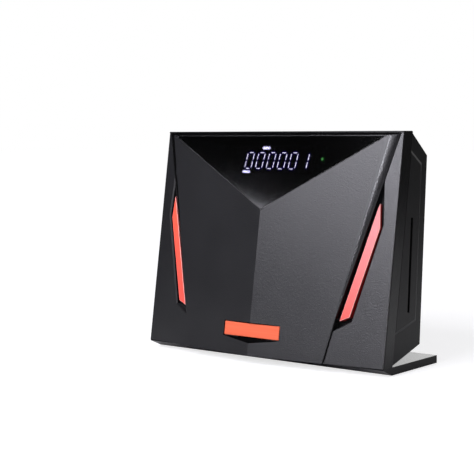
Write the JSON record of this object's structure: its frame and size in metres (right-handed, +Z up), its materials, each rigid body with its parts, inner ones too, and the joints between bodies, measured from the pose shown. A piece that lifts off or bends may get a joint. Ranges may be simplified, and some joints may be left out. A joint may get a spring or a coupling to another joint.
{
  "type": "satellite tv receiver",
  "caption": "Upright satellite receiver on a flat stand, with a faceted prow front, a triangular display window, lit side bars, a card slot and a row of sockets behind.",
  "frame": {"origin": "on the floor, under the middle of the whole object's box", "axes": "+X to the right along the front, +Y from the front to the back, +Z up; the front faces -Y"},
  "size_m": [0.18, 0.074, 0.142],
  "materials": {
    "frame_shell": "satin black moulded frame",
    "facets": "satin black with fine sparkle",
    "window": "polished smoked black",
    "copper_trim": "brushed copper colour, bare",
    "light_guide": "translucent red light guide",
    "housing": "fine grained black",
    "stand": "polished black",
    "feet": "black",
    "steel": "zinc plated",
    "plate": "black powder coat",
    "nickel": "nickel plated",
    "gold": "gold plated contacts",
    "socket_black": "black nylon",
    "insulator": "white",
    "board": "green solder mask",
    "chips": "black epoxy",
    "shield_can": "tinned",
    "sink": "black anodised",
    "can_aluminium": "plain",
    "flat_cable": "white",
    "led_green": "green diffused"
  },
  "bodies": {
    "case": {"av_jack": "socket_black", "board_screws": "steel", "cable_connectors": "insulator", "capacitors": "can_aluminium", "card_contacts": "gold", "card_reader": "socket_black", "cover_screws": "steel", "display_board": "board", "display_cable": "flat_cable", "display_module": "chips", "display_screws": "steel", "display_window": "window", "front_frame": "frame_shell", "hdmi_shell": "nickel", "hdmi_tongue": "socket_black", "heat_sink": "sink", "inductors": "chips", "inlet_pin": "nickel", "lamp_boards": "board", "lamp_screws": "steel", "lamps": "insulator", "lan_contacts": "gold", "lan_socket": "socket_black", "light_bar_left": "light_guide", "light_bar_right": "light_guide", "lnb_connectors": "nickel", "lnb_insulators": "insulator", "lnb_nuts": "nickel", "main_board": "board", "memory_chips": "chips", "name_plate": "copper_trim", "optical_socket": "socket_black", "plate_screws": "steel", "power_inlet": "socket_black", "processor": "chips", "radio_module": "shield_can", "rear_housing": "housing", "remote_eye": "chips", "shield_panel": "facets", "socket_plate": "plate", "stand_feet": "feet", "stand_plate": "stand", "stand_screws": "steel", "standby_led": "led_green", "switch_housing": "socket_black", "tuner_can": "steel", "usb_shell": "nickel", "usb_tongue": "insulator", "wing_left": "facets", "wing_right": "facets"},
    "rocker": {"switch_rocker": "socket_black"},
    "shutter": {"optical_shutter": "socket_black"}
  },
  "joints": [
    {"name": "switch_tilt", "type": "hinge", "parent": "case", "child": "rocker", "pos_m": [0.062, 0.0155, 0.03784], "axis": [1, 0, 0], "range_deg": [0, 16]},
    {"name": "shutter_swing", "type": "hinge", "parent": "case", "child": "shutter", "pos_m": [-0.0385, 0.01805, 0.04029], "axis": [-1, 0, 0], "range_deg": [0, 80], "stiffness_Nm_per_rad": 0.00005, "springref_deg": -11.46}
  ]
}
